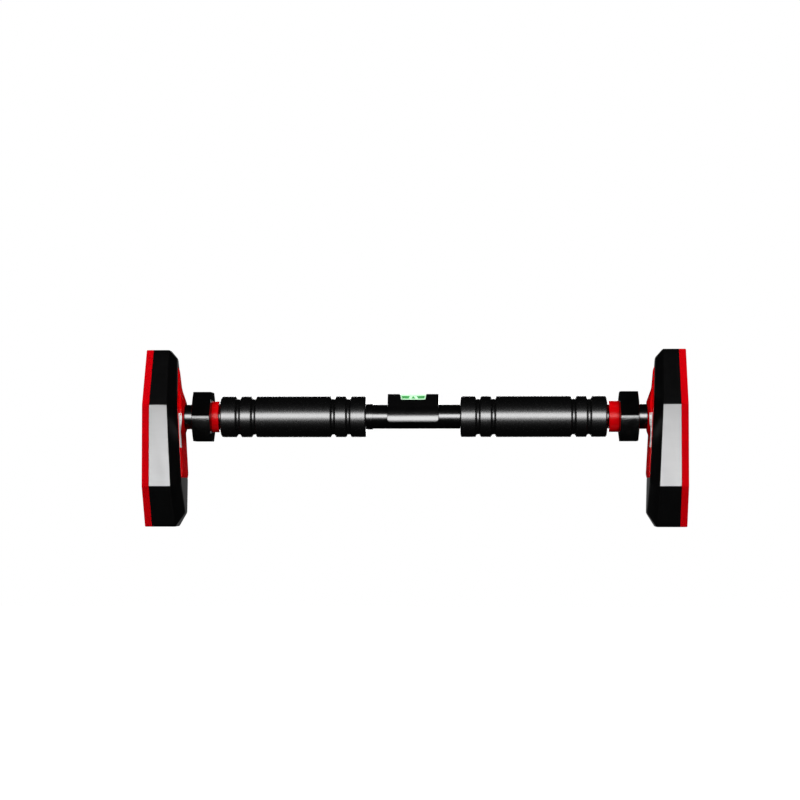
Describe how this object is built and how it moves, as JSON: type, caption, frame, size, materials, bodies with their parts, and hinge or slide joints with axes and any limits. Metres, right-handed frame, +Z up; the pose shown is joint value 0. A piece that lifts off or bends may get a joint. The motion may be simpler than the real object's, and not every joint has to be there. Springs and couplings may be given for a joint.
{
  "type": "pull up bar",
  "caption": "Doorway pull up bar: foam-gripped tube with lead screws turned by hex knobs, swivelling rubber-faced wall pads, lock rings and a clip-on level.",
  "frame": {"origin": "on the bar's axis, midway between the two wall faces", "axes": "+X along the bar, -Y the front with the level's long side, +Z up"},
  "size_m": [0.865, 0.12, 0.284],
  "materials": {
    "black_coat": "gloss black powder coat",
    "foam": "closed-cell foam with a smooth satin skin",
    "black_plastic": "gloss",
    "red_plastic": "gloss",
    "red_rubber": "matt, fine ribs",
    "silver_plastic": "satin silver",
    "plated_steel": "bright zinc or chrome plate",
    "bare_steel": "plain steel",
    "acetal": "natural",
    "clear_green": "clear",
    "green_liquid": "clear"
  },
  "bodies": {
    "bar": {"centre_tube": "black_coat", "left_outer_tube": "black_coat", "tube_rivets": "plated_steel", "left_thread_insert": "bare_steel", "right_thread_insert": "bare_steel", "left_grip": "foam", "right_grip": "foam"},
    "level": {"level_clip": "black_plastic", "level_vial": "clear_green", "vial_liquid": "green_liquid", "vial_plugs": "black_plastic"},
    "left_lock": {"left_lock_ring": "red_plastic"},
    "left_neck": {"left_neck_bush": "black_plastic"},
    "left_screw": {"left_screw_rod": "plated_steel", "left_knob": "black_plastic", "left_knob_pin": "plated_steel", "left_rod_stop": "plated_steel", "left_stop_pin": "plated_steel", "left_retaining_ring": "plated_steel"},
    "left_pad": {"left_wall_pad": "red_rubber", "left_backing_plate": "bare_steel", "left_pad_shell": "black_plastic", "left_pad_cover": "red_plastic", "left_side_trims": "silver_plastic", "left_pad_screws": "plated_steel", "left_swivel_bush": "acetal", "left_thrust_washer": "acetal"},
    "right_lock": {"right_lock_ring": "red_plastic"},
    "right_neck": {"right_neck_bush": "black_plastic"},
    "right_screw": {"right_screw_rod": "plated_steel", "right_knob": "black_plastic", "right_knob_pin": "plated_steel", "right_rod_stop": "plated_steel", "right_stop_pin": "plated_steel", "right_retaining_ring": "plated_steel"},
    "right_pad": {"right_wall_pad": "red_rubber", "right_backing_plate": "bare_steel", "right_pad_shell": "black_plastic", "right_pad_cover": "red_plastic", "right_side_trims": "silver_plastic", "right_pad_screws": "plated_steel", "right_swivel_bush": "acetal", "right_thrust_washer": "acetal"}
  },
  "joints": [
    {"name": "left_extend", "type": "slide", "parent": "bar", "child": "left_neck", "axis": [-1, 0, 0], "range_m": [0, 0.245]},
    {"name": "left_knob_turn", "type": "hinge", "parent": "left_neck", "child": "left_screw", "pos_m": [-0.3415, 0, 0], "axis": [-1, 0, 0], "range_deg": [0, 17640]},
    {"name": "left_pad_swivel", "type": "hinge", "parent": "left_neck", "child": "left_pad", "pos_m": [-0.39, 0, 0], "axis": [-1, 0, 0], "continuous": true},
    {"name": "left_lock_turn", "type": "hinge", "parent": "bar", "child": "left_lock", "pos_m": [-0.3231, 0, 0], "axis": [-1, 0, 0], "range_deg": [0, 180]},
    {"name": "right_extend", "type": "slide", "parent": "bar", "child": "right_neck", "axis": [1, 0, 0], "range_m": [-0.005, 0.24]},
    {"name": "right_knob_turn", "type": "hinge", "parent": "right_neck", "child": "right_screw", "pos_m": [0.3415, 0, 0], "axis": [1, 0, 0], "range_deg": [-360, 17280]},
    {"name": "right_pad_swivel", "type": "hinge", "parent": "right_neck", "child": "right_pad", "pos_m": [0.39, 0, 0], "axis": [1, 0, 0], "continuous": true},
    {"name": "right_lock_turn", "type": "hinge", "parent": "bar", "child": "right_lock", "pos_m": [0.3175, 0, 0], "axis": [1, 0, 0], "range_deg": [0, 180]},
    {"name": "level_turn", "type": "hinge", "parent": "bar", "child": "level", "pos_m": [-0.0028, 0, 0], "axis": [1, 0, 0], "range_deg": [-90, 90]}
  ],
  "couplings": [
    {"joint": "left_knob_turn", "follows": "left_extend", "rad_per_m": 1256.6},
    {"joint": "right_knob_turn", "follows": "right_extend", "rad_per_m": 1256.6}
  ]
}
